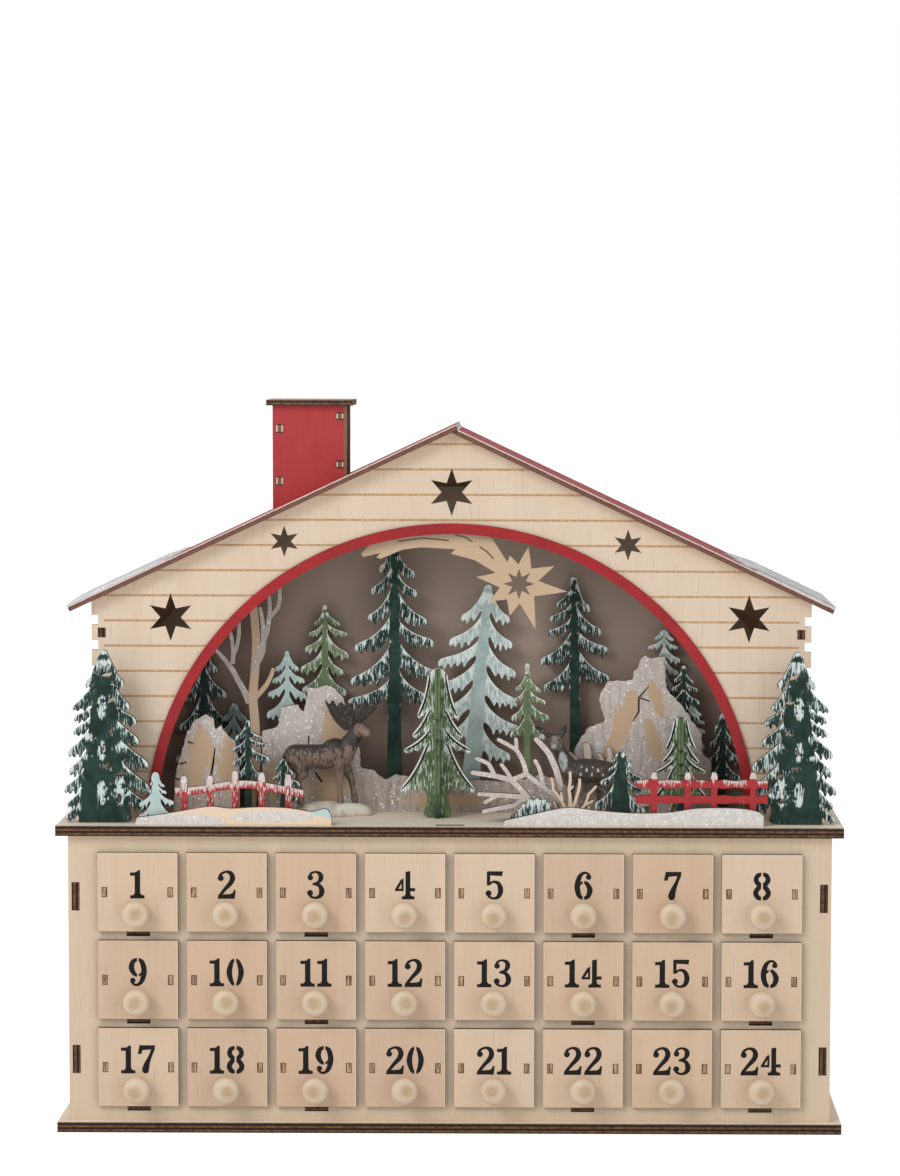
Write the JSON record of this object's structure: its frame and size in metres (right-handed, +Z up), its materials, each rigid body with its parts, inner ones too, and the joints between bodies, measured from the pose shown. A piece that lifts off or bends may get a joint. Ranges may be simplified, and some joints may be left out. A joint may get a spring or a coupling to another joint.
{
  "type": "wooden advent calendar",
  "caption": "Free-standing plywood advent calendar: a chest of small numbered drawers under a log-cabin front with an arched winter forest scene.",
  "frame": {"origin": "centre of the base plate's underside", "axes": "+Z up, +X to the right along the front, the drawers open towards -Y"},
  "size_m": [0.42, 0.1093, 0.3915],
  "materials": {
    "birch": "bare birch plywood",
    "red_paint": "matt red paint",
    "taupe_paint": "matt taupe",
    "snow": "white glitter paint",
    "dark_fir": "matt dark green",
    "pale_fir": "matt pale green",
    "green_fir": "matt green",
    "rock": "glitter over plywood",
    "resin": "hand-painted cast resin"
  },
  "bodies": {
    "calendar": {"base_plate": "birch", "deck_plate": "birch", "face_frame": "birch", "chest_sides": "birch", "rear_panel": "birch", "shelves": "birch", "dividers": "birch", "facade": "birch", "arch_trim": "red_paint", "house_sides": "birch", "house_rear_wall": "birch", "backdrop": "taupe_paint", "roof_left": "red_paint", "roof_right": "red_paint", "roof_snow": "snow", "chimney_walls": "red_paint", "chimney_cap": "birch", "comet_star": "birch", "end_fir_left": "dark_fir", "end_fir_right": "dark_fir", "tall_fir": "dark_fir", "frost_fir": "pale_fir", "pole_fir": "dark_fir", "crossed_firs": "green_fir", "background_firs": "green_fir", "foreground_firs": "dark_fir", "bare_tree": "birch", "left_rock": "rock", "middle_rocks": "rock", "right_rock": "rock", "fences": "red_paint", "snowbanks": "snow", "deer": "resin", "fawn": "resin", "deadwood": "snow", "shrub": "birch"},
    "drawer_01": {"drawer_01": "birch"},
    "drawer_02": {"drawer_02": "birch"},
    "drawer_03": {"drawer_03": "birch"},
    "drawer_04": {"drawer_04": "birch"},
    "drawer_05": {"drawer_05": "birch"},
    "drawer_06": {"drawer_06": "birch"},
    "drawer_07": {"drawer_07": "birch"},
    "drawer_08": {"drawer_08": "birch"},
    "drawer_09": {"drawer_09": "birch"},
    "drawer_10": {"drawer_10": "birch"},
    "drawer_11": {"drawer_11": "birch"},
    "drawer_12": {"drawer_12": "birch"},
    "drawer_13": {"drawer_13": "birch"},
    "drawer_14": {"drawer_14": "birch"},
    "drawer_15": {"drawer_15": "birch"},
    "drawer_16": {"drawer_16": "birch"},
    "drawer_17": {"drawer_17": "birch"},
    "drawer_18": {"drawer_18": "birch"},
    "drawer_19": {"drawer_19": "birch"},
    "drawer_20": {"drawer_20": "birch"},
    "drawer_21": {"drawer_21": "birch"},
    "drawer_22": {"drawer_22": "birch"},
    "drawer_23": {"drawer_23": "birch"},
    "drawer_24": {"drawer_24": "birch"}
  },
  "joints": [
    {"name": "drawer_01_slide", "type": "slide", "parent": "calendar", "child": "drawer_01", "axis": [0, -1, 0], "range_m": [0, 0.06]},
    {"name": "drawer_02_slide", "type": "slide", "parent": "calendar", "child": "drawer_02", "axis": [0, -1, 0], "range_m": [0, 0.06]},
    {"name": "drawer_03_slide", "type": "slide", "parent": "calendar", "child": "drawer_03", "axis": [0, -1, 0], "range_m": [0, 0.06]},
    {"name": "drawer_04_slide", "type": "slide", "parent": "calendar", "child": "drawer_04", "axis": [0, -1, 0], "range_m": [0, 0.06]},
    {"name": "drawer_05_slide", "type": "slide", "parent": "calendar", "child": "drawer_05", "axis": [0, -1, 0], "range_m": [0, 0.06]},
    {"name": "drawer_06_slide", "type": "slide", "parent": "calendar", "child": "drawer_06", "axis": [0, -1, 0], "range_m": [0, 0.06]},
    {"name": "drawer_07_slide", "type": "slide", "parent": "calendar", "child": "drawer_07", "axis": [0, -1, 0], "range_m": [0, 0.06]},
    {"name": "drawer_08_slide", "type": "slide", "parent": "calendar", "child": "drawer_08", "axis": [0, -1, 0], "range_m": [0, 0.06]},
    {"name": "drawer_09_slide", "type": "slide", "parent": "calendar", "child": "drawer_09", "axis": [0, -1, 0], "range_m": [0, 0.06]},
    {"name": "drawer_10_slide", "type": "slide", "parent": "calendar", "child": "drawer_10", "axis": [0, -1, 0], "range_m": [0, 0.06]},
    {"name": "drawer_11_slide", "type": "slide", "parent": "calendar", "child": "drawer_11", "axis": [0, -1, 0], "range_m": [0, 0.06]},
    {"name": "drawer_12_slide", "type": "slide", "parent": "calendar", "child": "drawer_12", "axis": [0, -1, 0], "range_m": [0, 0.06]},
    {"name": "drawer_13_slide", "type": "slide", "parent": "calendar", "child": "drawer_13", "axis": [0, -1, 0], "range_m": [0, 0.06]},
    {"name": "drawer_14_slide", "type": "slide", "parent": "calendar", "child": "drawer_14", "axis": [0, -1, 0], "range_m": [0, 0.06]},
    {"name": "drawer_15_slide", "type": "slide", "parent": "calendar", "child": "drawer_15", "axis": [0, -1, 0], "range_m": [0, 0.06]},
    {"name": "drawer_16_slide", "type": "slide", "parent": "calendar", "child": "drawer_16", "axis": [0, -1, 0], "range_m": [0, 0.06]},
    {"name": "drawer_17_slide", "type": "slide", "parent": "calendar", "child": "drawer_17", "axis": [0, -1, 0], "range_m": [0, 0.06]},
    {"name": "drawer_18_slide", "type": "slide", "parent": "calendar", "child": "drawer_18", "axis": [0, -1, 0], "range_m": [0, 0.06]},
    {"name": "drawer_19_slide", "type": "slide", "parent": "calendar", "child": "drawer_19", "axis": [0, -1, 0], "range_m": [0, 0.06]},
    {"name": "drawer_20_slide", "type": "slide", "parent": "calendar", "child": "drawer_20", "axis": [0, -1, 0], "range_m": [0, 0.06]},
    {"name": "drawer_21_slide", "type": "slide", "parent": "calendar", "child": "drawer_21", "axis": [0, -1, 0], "range_m": [0, 0.06]},
    {"name": "drawer_22_slide", "type": "slide", "parent": "calendar", "child": "drawer_22", "axis": [0, -1, 0], "range_m": [0, 0.06]},
    {"name": "drawer_23_slide", "type": "slide", "parent": "calendar", "child": "drawer_23", "axis": [0, -1, 0], "range_m": [0, 0.06]},
    {"name": "drawer_24_slide", "type": "slide", "parent": "calendar", "child": "drawer_24", "axis": [0, -1, 0], "range_m": [0, 0.06]}
  ]
}
